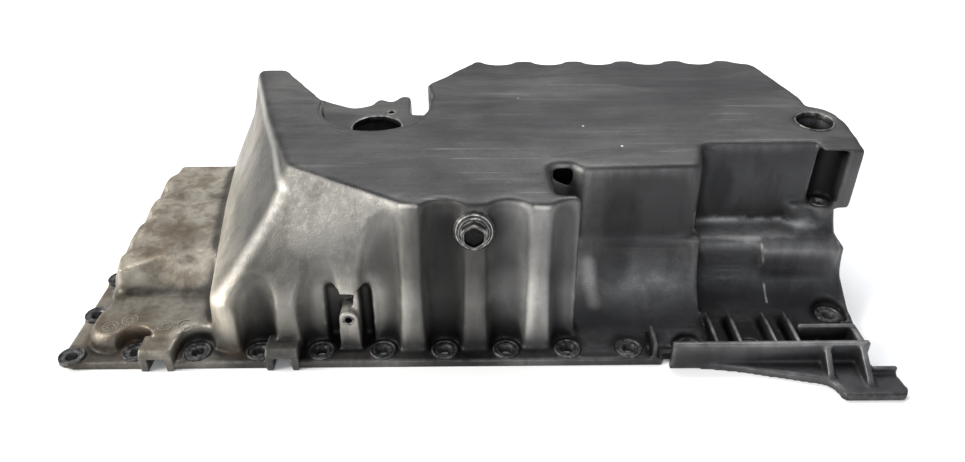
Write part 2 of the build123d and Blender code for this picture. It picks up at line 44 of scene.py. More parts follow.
# Places in millimetres, repeated from the model apart from the seat's middle and the date dials
PITCH = 45.5
ROW = 131.5
LEFT_BOLT_X = -273.0
RIGHT_BOLT_X = 299.0
FRONT_BOLTS = [(PITCH * i, -ROW) for i in range(-5, 7)]
BACK_BOLTS = [(PITCH * i, ROW) for i in range(-6, 7)]
LEFT_BOLTS = [(LEFT_BOLT_X, y) for y in (-135.5, -88.0, -41.0, 6.0, 48.0, 90.0)]
RIGHT_BOLTS = [(RIGHT_BOLT_X, -95.0), (RIGHT_BOLT_X, 95.0)]
BOLTS = FRONT_BOLTS + BACK_BOLTS + LEFT_BOLTS + RIGHT_BOLTS
BOSS_TOP = 8.0
FLOOR_MID = 129.6
FLOOR_SLOPE = 0.0593
FLOOR_UP = (0.0, -FLOOR_SLOPE, 1.0)
UPWARD = (0.0, 0.0, 1.0)
FORWARD = (0.0, -1.0, 0.0)
PORT = (-59.0, 33.0, 110.0)
PORT_SCREW = (-49.0, 61.5, 110.0)
SEAT_MIDDLE = (-62.0, 42.0, 110.0)
POST_HOLE = (-69.0, -128.8, 33.0)
DOWEL_BORE = (294.53, -1.57, 129.5)
SLOT_SCREW = (295.5, -40.0, 78.0)
LUG_MIDDLES = (-208.3, -117.3)
DRAIN = (22.4, -119.8, 103.5)
DRAIN_TILT = math.radians(10.0)
DRAIN_UP = (0.0, -math.cos(DRAIN_TILT), math.sin(DRAIN_TILT))
PLUG_HALF_ACROSS = 8.45
DIALS = [(-248.0, -117.5), (-236.3, -110.5), (-208.2, -116.8), (-193.0, -117.0)]

# The casting's skin: sizes in millimetres, counts and limits
VOXEL = 1.25
RELAX_ROUNDS = 17
OPEN_RAYS = 12
OPEN_REACH = 42.0
OPEN_ROUNDS = 8
BEND_ROUNDS = 3
RELIEF_REACH = 9.0
RELIEF_SPAN = 12.0
OUTSIDE_TRIANGLES = 190000
INSIDE_TRIANGLES = 40000
GOLDEN_ANGLE = 2.399963

# Room for the turned rings: a boss's flattened top, and its widened hole
BOSS_ROOM_R = 10.4
BOSS_ROOM_Z = 6.1
BOSS_ROOM_TOP = 9.6
BOLT_ROOM_R = 5.3
# a ring's largest radius, which is less on the left row, to stay within the bosses at the pan's end
END_BOSS_R = 9.3
FULL_BOSS_R = 10.0
# skin pressed to a height: place, axis, radius, from, to, new height
PRESSED = [(DRAIN, DRAIN_UP, 14.3, -1.2, 4.0, -1.2)]
# round holes widened in the skin: place, axis, radius, from, to
WIDENED = [(DRAIN, DRAIN_UP, 7.9, -30.0, 3.0), (PORT, UPWARD, 20.9, -6.0, 0.6),
           (PORT_SCREW, UPWARD, 3.4, -9.0, 0.6), (POST_HOLE, FORWARD, 3.3, -13.0, 1.0),
           (DOWEL_BORE, UPWARD, 14.7, -8.0, 1.5), (SLOT_SCREW, UPWARD, 4.9, -9.0, 1.0)]

# Brown stains at the left end: place, reach, amount
STAINS = [((-219.0, -28.0, 39.0), 26.0, 0.55), ((-231.0, -12.0, 39.0), 20.0, 0.5),
          ((-236.0, -52.0, 34.0), 20.0, 0.4), ((-243.0, -116.0, 20.0), 17.0, 0.5),
          ((-262.0, -112.0, 12.0), 16.0, 0.55), ((-220.0, -125.0, 7.0), 22.0, 0.55),
          ((-150.0, -128.0, 7.0), 16.0, 0.35), ((-285.0, -60.0, 8.0), 14.0, 0.45)]
# Pale lines along edges, painted highlights where the edges catch the light: points, reach, amount
PALE_LINES = [
    ([(-168.0, 88.0, 129.0), (-152.0, 31.0, 127.0), (-134.0, -26.0, 123.0), (-117.0, -75.0, 112.0)],
     6.0, 0.50),
    ([(-117.0, -75.0, 112.0), (-138.0, -98.0, 78.0), (-156.0, -113.0, 52.0)], 9.0, 0.25),
    ([(-196.0, 70.0, 50.0), (-186.0, -28.0, 46.0), (-172.0, -105.0, 44.0)], 5.0, 0.35),
    ([(247.0, -65.0, 55.0), (249.5, -70.5, 40.0), (252.3, -75.5, 21.0), (252.8, -85.6, 12.8)], 1.5, 0.55),
    ([(110.0, -78.0, 47.0), (111.5, -86.5, 31.0), (114.0, -95.5, 21.0)], 8.0, 0.30),
    ([(190.0, -67.0, 84.0), (191.5, -66.0, 68.0), (202.0, -60.0, 59.0), (245.0, -60.5, 57.0)], 3.6, 0.32),
    ([(-28.0, -113.0, 120.2), (-17.0, -115.3, 121.5)], 2.4, 0.6),
    ([(64.5, -116.0, 120.5), (74.0, -116.3, 119.8)], 2.4, 0.6)]
# Sooty and clean areas, which also stand for soft shadow and shine: centre, radii, amount
DARK_PATCHES = [((134.0, -73.0, 82.0), (25.0, 30.0, 46.0), 0.86),
                ((128.0, -82.0, 46.0), (22.0, 26.0, 28.0), 0.84),
                ((152.0, -74.0, 84.0), (55.0, 30.0, 58.0), 0.42),
                ((214.0, -40.0, 92.0), (15.0, 20.0, 32.0), 0.78),
                ((-60.0, -72.0, 126.0), (34.0, 34.0, 9.0), 0.35),
                ((-212.0, -60.0, 40.0), (14.0, 40.0, 10.0), 0.30)]
PALE_PATCHES = [((246.0, -50.0, 60.0), (70.0, 20.0, 9.0), 1.0),
                ((150.0, -92.0, 28.0), (42.0, 26.0, 24.0), 0.27),
                ((268.0, -150.0, 10.0), (95.0, 45.0, 26.0), 0.48),
                ((-285.0, -60.0, 4.0), (60.0, 100.0, 9.0), 0.75)]
# Pale knocks on the floor and the flange: place, radius
KNOCKS = [((219.0, -37.0, 127.2), 1.2), ((222.6, -37.0, 126.6), 0.9), ((228.0, -37.5, 126.8), 1.0),
          ((247.0, -38.0, 127.0), 1.1), ((108.8, -8.2, 129.1), 1.1), ((134.7, -39.4, 127.3), 1.3),
          ((186.1, -85.2, 6.0), 1.5), ((60.0, 40.0, 132.0), 0.8)]

# Camera, in metres and degrees
CAMERA_PLACE = (0.0227, -0.5671, 0.39659)
CAMERA_PITCH = 33.2
CAMERA_TURN = -0.7
LENS_MM = 29.1
SENSOR_MM = 36.0

# Studio: an area light's name, place, size, power and colour
LIGHTS = [("key", (-1.9, -0.45, 1.1), (1.0, 1.0), 62.0, (1.0, 0.975, 0.93)),
          ("top", (0.2, 0.9, 1.7), (1.6, 0.9), 30.0, (1.0, 1.0, 1.0)),
          ("front", (0.3, -1.9, 0.9), (1.2, 0.7), 12.0, (0.96, 0.98, 1.0))]
LIGHT_TARGET = (0.0, 0.0, 0.05)
SKY_COLOUR = (0.93, 0.95, 1.0, 1.0)
SKY_STRENGTH = 0.50
PAPER_SIZE = 12.0


# Camera at the photograph's viewing angle
def make_camera():
    data = bpy.data.cameras.new("camera")
    data.lens = LENS_MM
    data.sensor_width = SENSOR_MM
    data.clip_start = 0.01
    data.clip_end = 50.0
    camera = bpy.data.objects.new("camera", data)
    camera.location = CAMERA_PLACE
    camera.rotation_euler = (math.radians(90.0 - CAMERA_PITCH), 0.0, math.radians(CAMERA_TURN))
    SCENE.collection.objects.link(camera)
    SCENE.camera = camera


# Soft studio light and a plain pale floor
def area_light(name, place, size, power, colour):
    data = bpy.data.lights.new(name, "AREA")
    data.shape = "RECTANGLE"
    data.size, data.size_y = size
    data.energy = power
    data.color = colour
    lamp = bpy.data.objects.new(name, data)
    lamp.location = place
    lamp.rotation_euler = (Vector(LIGHT_TARGET) - Vector(place)).to_track_quat("-Z", "Y").to_euler()
    SCENE.collection.objects.link(lamp)


def make_studio():
    world = bpy.data.worlds.new("studio")
    SCENE.world = world
    world.use_nodes = True
    background = world.node_tree.nodes["Background"]
    background.inputs["Color"].default_value = SKY_COLOUR
    background.inputs["Strength"].default_value = SKY_STRENGTH
    for light in LIGHTS:
        area_light(*light)
    bpy.ops.mesh.primitive_plane_add(size=PAPER_SIZE, location=(0, 0, 0))
    floor = bpy.context.object
    floor.name = "floor"
    g = Shader("floor_paper")
    noise = g.noise(g.object_coords(), 3.0, 2.0)
    g.principled(g.ramp(noise, [(0.3, (0.93, 0.93, 0.93)), (0.7, (0.955, 0.955, 0.955))]), 0.7, 0.0)
    floor.data.materials.append(g.material)


# A short way to write node trees
class Shader:
    def __init__(self, name):
        self.material = bpy.data.materials.new(name)
        self.material.use_nodes = True
        self.nodes = self.material.node_tree.nodes
        self.links = self.material.node_tree.links
        self.nodes.clear()

    def put(self, socket, value):
        if isinstance(value, bpy.types.NodeSocket):
            self.links.new(value, socket)
        elif isinstance(value, (tuple, list)) and len(value) == 3 and socket.type == "RGBA":
            socket.default_value = (*value, 1.0)
        else:
            socket.default_value = value

    def object_coords(self):
        return self.nodes.new("ShaderNodeTexCoord").outputs["Object"]

    def math(self, operation, a, b=0.0, clamp=False):
        node = self.nodes.new("ShaderNodeMath")
        node.operation = operation
        node.use_clamp = clamp
        for socket, value in zip(node.inputs, (a, b)):
            self.put(socket, value)
        return node.outputs[0]

    def axis(self, vector, which):
        node = self.nodes.new("ShaderNodeSeparateXYZ")
        self.put(node.inputs[0], vector)
        return node.outputs[which]

    def stretch(self, vector, scale, rotation=(0, 0, 0), shift=(0, 0, 0)):
        node = self.nodes.new("ShaderNodeMapping")
        self.put(node.inputs["Vector"], vector)
        node.inputs["Scale"].default_value = scale
        node.inputs["Rotation"].default_value = rotation
        node.inputs["Location"].default_value = shift
        return node.outputs[0]

    def noise(self, vector, scale, detail=4.0, roughness=0.55, distortion=0.0):
        node = self.nodes.new("ShaderNodeTexNoise")
        self.put(node.inputs["Vector"], vector)
        node.inputs["Scale"].default_value = scale
        node.inputs["Detail"].default_value = detail
        node.inputs["Roughness"].default_value = roughness
        node.inputs["Distortion"].default_value = distortion
        return node.outputs["Fac"]

    def step(self, value, low, high, out_low=0.0, out_high=1.0):
        node = self.nodes.new("ShaderNodeMapRange")
        node.interpolation_type = "SMOOTHSTEP"
        self.put(node.inputs["Value"], value)
        node.inputs["From Min"].default_value = low
        node.inputs["From Max"].default_value = high
        node.inputs["To Min"].default_value = out_low
        node.inputs["To Max"].default_value = out_high
        return node.outputs["Result"]

    def ramp(self, value, stops):
        node = self.nodes.new("ShaderNodeValToRGB")
        self.put(node.inputs[0], value)
        ramp = node.color_ramp
        for element, (place, colour) in zip((ramp.elements[0], ramp.elements[1]), (stops[0], stops[-1])):
            element.position = place
            element.color = (*colour, 1.0)
        for place, colour in stops[1:-1]:
            ramp.elements.new(place).color = (*colour, 1.0)
        return node.outputs["Color"]

    def mix(self, amount, a, b, blend="MIX"):
        node = self.nodes.new("ShaderNodeMix")
        node.data_type = "RGBA"
        node.blend_type = blend
        self.put(node.inputs["Factor"], amount)
        self.put(node.inputs[6], a)
        self.put(node.inputs[7], b)
        return node.outputs[2]

    def tint(self, amount, colour, factor):
        """A colour multiplied by a factor, by an amount from 0 to 1."""
        return self.mix(amount, colour, self.mix(1.0, colour, factor, "MULTIPLY"))

    def attribute(self, name, which):
        node = self.nodes.new("ShaderNodeAttribute")
        node.attribute_name = name
        return self.axis(node.outputs["Vector"], which)

    def attribute_value(self, name):
        node = self.nodes.new("ShaderNodeAttribute")
        node.attribute_name = name
        return node.outputs["Fac"]

    def grey(self, value):
        """A grey colour of one value, for mixing numbers."""
        node = self.nodes.new("ShaderNodeCombineColor")
        for socket in node.inputs:
            self.put(socket, value)
        return node.outputs[0]

    def distance(self, vector, place):
        """Distance from a place given in millimetres."""
        return self.vector("DISTANCE", vector, tuple(v * MM for v in place))

    def vector(self, operation, a, b=None, scale=None):
        node = self.nodes.new("ShaderNodeVectorMath")
        node.operation = operation
        self.put(node.inputs[0], a)
        if b is not None:
            self.put(node.inputs[1], b)
        if scale is not None:
            self.put(node.inputs["Scale"], scale)
        return node.outputs["Value" if operation in ("DOT_PRODUCT", "DISTANCE", "LENGTH") else "Vector"]

    def near_line(self, at, points, reach, amount):
        """The amount on a line through points in millimetres, fading to 0 at the reach."""
        total = 0.0
        for a, b in zip(points[:-1], points[1:]):
            a, run = Vector(a) * MM, (Vector(b) - Vector(a)) * MM
            off = self.vector("SUBTRACT", at, tuple(a))
            share = self.vector("DOT_PRODUCT", off, tuple(run / run.length_squared))
            share = self.math("MULTIPLY", share, 1.0, clamp=True)
            along = self.vector("SCALE", tuple(run), scale=share)
            near = self.step(self.vector("DISTANCE", off, along), 0.0, reach * MM, amount, 0.0)
            total = self.math("MAXIMUM", total, near)
        return total

    def in_patch(self, at, centre, radii, amount):
        """The amount inside an ellipsoid given in millimetres, fading to 0 at its skin."""
        scale = [1.0 / (r * MM) for r in radii]
        place = self.stretch(at, scale, shift=[-c * MM * k for c, k in zip(centre, scale)])
        return self.step(self.vector("LENGTH", place), 0.40, 1.0, amount, 0.0)

    def most(self, amounts):
        """The largest of several amounts at each place."""
        total = 0.0
        for amount in amounts:
            total = self.math("MAXIMUM", total, amount)
        return total

    def bump(self, height, distance, strength=1.0, normal=None):
        node = self.nodes.new("ShaderNodeBump")
        self.put(node.inputs["Height"], height)
        node.inputs["Distance"].default_value = distance
        node.inputs["Strength"].default_value = strength
        if normal is not None:
            self.put(node.inputs["Normal"], normal)
        return node.outputs["Normal"]

    def principled(self, colour, roughness, metallic, normal=None):
        node = self.nodes.new("ShaderNodeBsdfPrincipled")
        self.put(node.inputs["Base Color"], colour)
        self.put(node.inputs["Roughness"], roughness)
        self.put(node.inputs["Metallic"], metallic)
        if normal is not None:
            self.put(node.inputs["Normal"], normal)
        out = self.nodes.new("ShaderNodeOutputMaterial")
        self.links.new(node.outputs[0], out.inputs[0])


# Mesh helpers
def new_object(name, mesh, smooth=True):
    piece = bpy.data.objects.new(name, mesh)
    SCENE.collection.objects.link(piece)
    if smooth:
        mesh.polygons.foreach_set("use_smooth", np.ones(len(mesh.polygons), bool))
    return piece


def baked(piece):
    """Mesh of an object with its modifiers applied."""
    graph = bpy.context.evaluated_depsgraph_get()
    graph.update()
    mesh = bpy.data.meshes.new_from_object(piece.evaluated_get(graph))
    piece.modifiers.clear()
    piece.data = mesh
    return mesh


def points_of(mesh):
    co = np.empty(len(mesh.vertices) * 3, np.float32)
    mesh.vertices.foreach_get("co", co)
    return co.reshape(-1, 3).astype(np.float64)


def normals_of(mesh):
    no = np.empty(len(mesh.vertices) * 3, np.float32)
    mesh.vertices.foreach_get("normal", no)
    return no.reshape(-1, 3).astype(np.float64)


def edges_of(mesh):
    pairs = np.empty(len(mesh.edges) * 2, np.int32)
    mesh.edges.foreach_get("vertices", pairs)
    return pairs.reshape(-1, 2)


def ring_mean(values, pairs, count):
    """Mean of each vertex's neighbours, for one or three columns."""
    a, b = pairs[:, 0], pairs[:, 1]
    degree = np.bincount(a, minlength=count) + np.bincount(b, minlength=count)
    degree = np.maximum(degree, 1)
    if values.ndim == 1:
        total = np.bincount(a, values[b], count) + np.bincount(b, values[a], count)
        return total / degree
    total = np.stack([np.bincount(a, values[b, k], count) + np.bincount(b, values[a, k], count)
                      for k in range(values.shape[1])], axis=1)
    return total / degree[:, None]


def smoothstep(low, high, x):
    t = np.clip((x - low) / (high - low), 0.0, 1.0)
    return t * t * (3 - 2 * t)


# Turned pieces: rings, seats and the plug, gathered in one mesh
class Turnery:
    def __init__(self):
        self.points, self.faces, self.turn = [], [], []

    def lathe(self, profile, place, axis=(0, 0, 1), segments=48, side=None, shape=None):
        """A profile of radius and height turned round an axis. shape(radius, angle) may bend the radius."""
        origin, up = Vector(place) * MM, Vector(axis).normalized()
        across = Vector(side) if side else up.orthogonal().normalized()
        other = up.cross(across)
        start = len(self.points)
        for r, h in profile:
            for i in range(segments):
                a = 2 * math.pi * i / segments
                bent = shape(r, a) if shape else r
                outward = across * math.cos(a) + other * math.sin(a)
                self.points.append(origin + outward * bent * MM + up * h * MM)
                self.turn.append(r)
        for k in range(len(profile) - 1):
            for i in range(segments):
                j = (i + 1) % segments
                low, high = start + k * segments, start + (k + 1) * segments
                self.faces.append((low + i, high + i, high + j, low + j))

    def cap(self, segments):
        """Closes the last ring with one face."""
        start = len(self.points) - segments
        self.faces.append(tuple(reversed(range(start, start + segments))))

    def block(self, corners):
        """A box from eight corners, lower four first, each four anticlockwise from above."""
        start = len(self.points)
        self.points += [Vector(c) * MM for c in corners]
        self.turn += [0.0] * 8
        for quad in ((3, 2, 1, 0), (4, 5, 6, 7), (0, 1, 5, 4), (1, 2, 6, 5), (2, 3, 7, 6), (3, 0, 4, 7)):
            self.faces.append(tuple(start + q for q in quad))

    def finish(self, name, material, replaced, sharp=40.0):
        mesh = bpy.data.meshes.new(name)
        mesh.from_pydata([tuple(v) for v in self.points], [], self.faces)
        mesh.validate()
        layer = mesh.attributes.new("turn", "FLOAT", "POINT")
        layer.data.foreach_set("value", np.array(self.turn, np.float32))
        mesh.polygons.foreach_set("use_smooth", np.ones(len(mesh.polygons), bool))
        mesh.set_sharp_from_angle(angle=math.radians(sharp))
        mesh.materials.append(material)
        piece = new_object(name, mesh, smooth=False)
        dress(piece, replaced)


def dress(piece, replaced):
    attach(piece, "root")
    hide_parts(replaced)


# The casting's skin: the CAD solid remeshed finely, with cast radii on its edges
def near_bolts(p, radius, height):
    """1 close to a bolt hole, falling to 0 beyond the radius, all in millimetres."""
    close = np.zeros(len(p))
    for x, y in BOLTS:
        d = np.hypot(p[:, 0] - x, p[:, 1] - y)
        close = np.maximum(close, 1.0 - smoothstep(radius * 0.8, radius, d))
    return close * (1.0 - smoothstep(height, height + 2.0, p[:, 2]))


def crisp_parts(p):
    """1 where the casting keeps sharp edges: bolt bosses, flange edge, wing ribs, lugs and post."""
    x, y, z = p[:, 0], p[:, 1], p[:, 2]
    crisp = near_bolts(p, 12.0, 9.5)
    ribs = (x > 150) & (y < -112) & (z < 27)
    edge = (z < 9.0) & ((y < -135) | (x < -276) | (y > 137) | (x > 309))
    near_lug = np.zeros(len(p), bool)
    for middle in LUG_MIDDLES:
        near_lug |= np.abs(x - middle) < 15
    lugs = (z < 20.0) & (y < -119) & near_lug
    post = (np.abs(x - POST_HOLE[0]) < 11) & (y < -118) & (z < 45)
    return np.maximum(crisp, (ribs | edge | lugs | post).astype(float))


def smoothed(p, pairs, flat, crisp):
    """Voxel steps relaxed away: cast radii in the open, and almost no shrinking where it is crisp."""
    count = len(p)

    def relax(amount):
        move = ring_mean(p, pairs, count) - p
        move[:, 2] *= 1.0 - flat
        p[:] += move * amount

    for _ in range(RELAX_ROUNDS):
        relax((0.58 * (1.0 - crisp))[:, None])
    for _ in range(4):
        relax(0.5)
        relax(-0.52)
    relax(0.3)
    p[:, 2] = np.maximum(p[:, 2], 0.0)
    return p


def round_an_axis(p, place, axis, radius, low, high):
    """Which points lie in a cylinder on an axis, with each one's height, offset and distance from it."""
    origin, up = np.array(place), np.array(Vector(axis).normalized())
    h = (p - origin) @ up
    off = p - origin - h[:, None] * up
    d = np.linalg.norm(off, axis=1)
    held = (d < radius) & (h > low) & (h < high)
    return held, up, h[held], off[held], d[held]


def sink_under_rings(p):
    """Room for the turned rings: bosses flattened, holes widened, drain seat pressed in."""
    for x, y in BOLTS:
        dx, dy = p[:, 0] - x, p[:, 1] - y
        d = np.hypot(dx, dy)
        top = (d < BOSS_ROOM_R) & (p[:, 2] > BOSS_ROOM_Z) & (p[:, 2] < BOSS_ROOM_TOP)
        p[top, 2] = BOSS_ROOM_Z
        hole = (d < BOLT_ROOM_R) & (p[:, 2] < BOSS_ROOM_TOP)
        grow = BOLT_ROOM_R / np.maximum(d[hole], 0.5)
        p[hole, 0] = x + dx[hole] * grow
        p[hole, 1] = y + dy[hole] * grow
    for place, axis, radius, low, high, to in PRESSED:
        held, up, h, _, _ = round_an_axis(p, place, axis, radius, low, high)
        p[held] += (to - h)[:, None] * up
    for place, axis, radius, low, high in WIDENED:
        held, _, _, off, d = round_an_axis(p, place, axis, radius, low, high)
        p[held] += off * (radius / np.maximum(d, 0.5) - 1.0)[:, None]
    return p


def inside_flags(mesh, p):
    """True for the vertices of the oil space: open downwards and roofed over."""
    tree = BVHTree.FromPolygons([tuple(v) for v in p], [tuple(f.vertices) for f in mesh.polygons])
    normal = normals_of(mesh)
    down, up = Vector((0, 0, -1)), Vector((0, 0, 1))
    flags = np.zeros(len(p), bool)
    candidates = np.nonzero((p[:, 2] > 0.8) & (p[:, 2] < 128.0) & (np.abs(p[:, 1]) < 121) & (p[:, 0] > -268)
                            & (p[:, 0] < 307))[0]
    for i in candidates:
        start = Vector(p[i]) + Vector(normal[i]) * 0.4
        if tree.ray_cast(start, down, 300.0)[0] is None and tree.ray_cast(start, up, 300.0)[0] is not None:
            flags[i] = True
    return flags


def split_off(mesh, keep):
    """A copy of a mesh with only the faces whose flag is set."""
    part = mesh.copy()
    work = bmesh.new()
    work.from_mesh(part)
    work.faces.ensure_lookup_table()
    gone = [work.faces[i] for i in np.nonzero(~keep)[0]]
    bmesh.ops.delete(work, geom=gone, context="FACES")
    work.to_mesh(part)
    work.free()
    return part


def write_points(mesh, p):
    """Puts points in millimetres back into a mesh."""
    mesh.vertices.foreach_set("co", (p * MM).astype(np.float32).ravel())
    mesh.update()


def voxel_mesh(piece):
    """The piece's mesh welded and remeshed in even voxels."""
    work = bmesh.new()
    work.from_mesh(piece.data)
    bmesh.ops.remove_doubles(work, verts=work.verts, dist=2e-5)
    work.to_mesh(piece.data)
    work.free()
    remesh = piece.modifiers.new("remesh", "REMESH")
    remesh.mode = "VOXEL"
    remesh.voxel_size = VOXEL * MM
    return baked(piece)


def bend_of(mesh, p, pairs):
    """How far each vertex stands out from its neighbours: more than 0 on an edge, less in a corner."""
    bend = -np.einsum("ij,ij->i", ring_mean(p, pairs, len(p)) - p, normals_of(mesh))
    for _ in range(BEND_ROUNDS):
        bend = 0.5 * bend + 0.5 * ring_mean(bend, pairs, len(p))
    return bend


def relief_of(mesh, p, pairs):
    """How far each vertex stands out from the casting's broad form: crests over 0, hollows under it."""
    broad = p.copy()
    for _ in range(int(2 * (RELIEF_REACH / VOXEL) ** 2)):
        broad = ring_mean(broad, pairs, len(p))
    return np.einsum("ij,ij->i", p - broad, normals_of(mesh))


def thinned(piece, limit):
    """Decimates a piece to about a limit of triangles."""
    triangles = sum(len(face.vertices) - 2 for face in piece.data.polygons)
    thin = piece.modifiers.new("thin", "DECIMATE")
    thin.ratio = min(1.0, limit / triangles)
    return baked(piece)


def casting_skin():
    """The casting's outside and inside, each marked with its edges, its openness and its relief."""
    skin = new_object("pan_outside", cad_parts["pan_casting"].data.copy())
    mesh = voxel_mesh(skin)
    p = points_of(mesh) / MM
    pairs = edges_of(mesh)
    flat = (np.abs(p[:, 2]) < 0.7).astype(float)
    p = smoothed(p, pairs, flat, crisp_parts(p))
    write_points(mesh, p)
    bend = bend_of(mesh, p, pairs)
    relief = relief_of(mesh, p, pairs)
    lookup = kdtree.KDTree(len(p))
    for i, q in enumerate(p):
        lookup.insert(q, i)
    lookup.balance()
    flags = inside_flags(mesh, p)
    face_in = np.array([all(flags[v] for v in f.vertices) for f in mesh.polygons])
    write_points(mesh, sink_under_rings(p))
    inner = new_object("pan_inside", split_off(mesh, face_in))
    skin.data = split_off(mesh, ~face_in)
    for piece, limit in ((skin, OUTSIDE_TRIANGLES), (inner, INSIDE_TRIANGLES)):
        final = thinned(piece, limit)
        q = points_of(final) / MM
        nearest = np.array([lookup.find(v)[1] for v in q])
        marks = np.ones((len(q), 4), np.float32)
        marks[:, 0] = np.clip(0.5 + bend[nearest] * 3.0, 0, 1)
        marks[:, 1] = openness(final, q, normals_of(final))
        marks[:, 2] = np.clip(0.5 + relief[nearest] / RELIEF_SPAN, 0, 1)
        layer = final.attributes.new("marks", "FLOAT_COLOR", "POINT")
        layer.data.foreach_set("color", marks.ravel())
        final.polygons.foreach_set("use_smooth", np.ones(len(final.polygons), bool))
    return skin, inner


def openness(mesh, q, normal):
    """How much of the space over each vertex is open within a short reach, from 0 to 1."""
    tree = BVHTree.FromPolygons([tuple(v) for v in q], [tuple(f.vertices) for f in mesh.polygons])
    directions = []
    for i in range(OPEN_RAYS):
        z = 1.0 - (i + 0.5) / OPEN_RAYS * 0.92
        a = i * GOLDEN_ANGLE
        r = math.sqrt(1 - z * z)
        directions.append((r * math.cos(a), r * math.sin(a), z))
    open_part = np.zeros(len(q))
    for i, (v, n) in enumerate(zip(q, normal)):
        n = Vector(n)
        side = n.orthogonal().normalized()
        other = n.cross(side)
        start = Vector(v) + n * 0.8
        total = 0.0
        for x, y, z in directions:
            hit = tree.ray_cast(start, side * x + other * y + n * z, OPEN_REACH)
            total += 1.0 if hit[0] is None else hit[3] / OPEN_REACH
        open_part[i] = total / OPEN_RAYS
    pairs = edges_of(mesh)
    for _ in range(OPEN_ROUNDS):
        open_part = 0.4 * open_part + 0.6 * ring_mean(open_part, pairs, len(q))
    return open_part


# Materials
PALE_METAL = (0.50, 0.49, 0.46)
KNOCK_METAL = (0.62, 0.61, 0.58)
EDGE_METAL = (0.42, 0.415, 0.40)
SCRATCH_METAL = (0.15, 0.148, 0.142)
RUST_BROWN = (0.080, 0.050, 0.026)
SOOT_AND_SHADOW = (0.012, 0.012, 0.013)
RECESS_SHADE = (0.009, 0.009, 0.010)


def metal_tone_light_and_shade(g, x, z, patch, mottle):
    """Tone of the cast metal, by its place along the pan and its height over the gasket face: the metal's own
    warm-to-grey tone with painted light and shade on it.
    """
    along = g.math("ADD", x, g.math("MULTIPLY", g.math("SUBTRACT", patch, 0.5), 0.10))
    # Painted light and shade along the pan: paler stops where the ridges catch the light, darker stops at the
    # flutes and a darker right end, over a warm left end and a grey middle.
    tone = g.ramp(g.step(along, -0.30, 0.32), [
        (0.0, (0.29, 0.262, 0.212)), (0.10, (0.45, 0.42, 0.36)), (0.16, (0.128, 0.123, 0.111)),
        (0.30, (0.220, 0.215, 0.200)), (0.355, (0.290, 0.284, 0.266)), (0.42, (0.100, 0.098, 0.093)),
        (0.50, (0.066, 0.065, 0.063)), (0.572, (0.088, 0.087, 0.084)), (0.62, (0.340, 0.337, 0.328)),
        (0.69, (0.140, 0.140, 0.140)), (0.75, (0.105, 0.105, 0.107)), (1.0, (0.080, 0.081, 0.085))])
    high = g.math("ADD", z, g.math("MULTIPLY", g.math("SUBTRACT", mottle, 0.5), 0.012))
    # Painted light and shade by height: darkest at the foot by the flange, brightest at mid height, darker
    # again towards the top.
    height_light_and_shade = g.ramp(g.math("DIVIDE", high, 0.14), [
        (0.0, (0.20, 0.20, 0.21)), (0.085, (0.27, 0.27, 0.28)), (0.20, (0.72, 0.72, 0.72)),
        (0.34, (1.0, 1.0, 1.0)), (0.50, (0.55, 0.55, 0.55)), (0.74, (0.60, 0.60, 0.61)),
        (0.95, (0.42, 0.42, 0.43))])
    return g.mix(1.0, tone, height_light_and_shade, "MULTIPLY")


def crests_and_hollows(g, colour, at, x, crown, mottle, clean_and_sheen, outside_pale_patches):
    """Painted highlights streaked along the ridges, pale patches lifted as clean metal with painted sheen,
    and painted shade in the hollows between the ridges.
    """
    streak = g.noise(g.stretch(at, (120.0, 60.0, 7.0)), 1.0, 4.0, 0.6)
    # Painted highlights: bright streaks on the crests of the ridges, weaker on the slope at the left.
    crest = g.math("MULTIPLY", g.step(crown, 0.53, 0.70), g.step(x, -0.11, -0.06, 0.45, 1.0))
    ridge_highlight = g.math("MULTIPLY", crest, g.step(streak, 0.3, 0.7, 0.35, 0.85))
    colour = g.tint(ridge_highlight, colour, (2.4, 2.37, 2.28))
    # Painted sheen over the pale patches, partly clean metal, lifting the colour several times.
    colour = g.tint(clean_and_sheen, colour, (3.8, 3.8, 3.7))
    # Painted shade in the hollows between the ridges, less inside the pale patches.
    hollow_shade = g.math("MULTIPLY", g.step(crown, 0.34, 0.488, 1.0, 0.0), outside_pale_patches)
    return g.tint(g.math("MULTIPLY", hollow_shade, g.step(mottle, 0.2, 0.7, 1.0, 0.8)), colour, (0.13, 0.13, 0.135))


def runs_and_blotches(g, colour, at, x):
    """Runs down the walls, and blotches of dirt on the shallow end."""
    runs = g.noise(g.stretch(at, (42.0, 42.0, 9.0), (0.0, 0.35, 0.0)), 1.0, 5.0, 0.62, 0.3)
    colour = g.tint(g.step(runs, 0.46, 0.66, 0.0, 0.60), colour, (0.52, 0.51, 0.50))
    blotch = g.noise(at, 55.0, 5.0, 0.62, 0.4)
    shallow = g.step(x, -0.205, -0.180, 1.0, 0.0)
    dirty = g.math("MULTIPLY", shallow, g.step(blotch, 0.42, 0.64, 0.0, 0.78))
    return g.tint(dirty, colour, (0.45, 0.40, 0.34))


def flat_areas(g, at, y, z):
    """1 on the sump's floor and on the filter's seat."""
    floor_height = g.math("ADD", g.math("MULTIPLY", y, FLOOR_SLOPE), FLOOR_MID * MM)
    on_floor = g.step(g.math("SUBTRACT", z, floor_height), -0.0035, -0.0008)
    at_height = g.math("MULTIPLY", g.step(z, 0.1072, 0.1090), g.step(z, 0.1125, 0.1150, 1.0, 0.0))
    seat = g.math("MULTIPLY", g.step(g.distance(at, SEAT_MIDDLE), 0.055, 0.068, 1.0, 0.0), at_height)
    return g.math("MAXIMUM", on_floor, seat)


